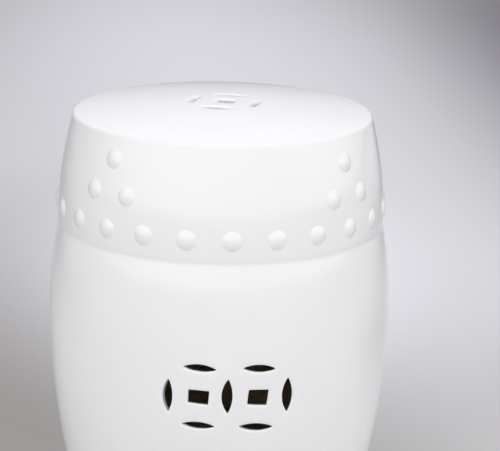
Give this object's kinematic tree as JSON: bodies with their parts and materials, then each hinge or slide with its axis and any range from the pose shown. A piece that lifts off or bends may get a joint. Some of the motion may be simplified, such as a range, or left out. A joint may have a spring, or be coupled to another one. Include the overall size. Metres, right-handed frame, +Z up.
{
  "type": "garden stool",
  "caption": "White glazed ceramic garden stool: a barrel between two collars with rows of round bosses, a crowned seat, pierced coin cut-outs and an open foot ring.",
  "frame": {"origin": "middle of the foot's bearing face, on the floor", "axes": "+Z up along the stool's axis, -Y towards the front pair of coins"},
  "size_m": [0.3299, 0.33, 0.463],
  "materials": {
    "white_glaze": "gloss",
    "bare_clay": "matte"
  },
  "bodies": {
    "root": {"seat": "white_glaze", "upper_collar": "white_glaze", "barrel": "white_glaze", "lower_collar": "white_glaze", "foot_ring": "white_glaze", "seat_coil": "bare_clay", "upper_seam_coil": "bare_clay", "lower_seam_coil": "bare_clay", "foot_coil": "bare_clay", "upper_boss_ring": "white_glaze", "upper_boss_row": "white_glaze", "upper_boss_peaks": "white_glaze", "lower_boss_ring": "white_glaze", "lower_boss_row": "white_glaze", "lower_boss_peaks": "white_glaze"}
  },
  "joints": []
}
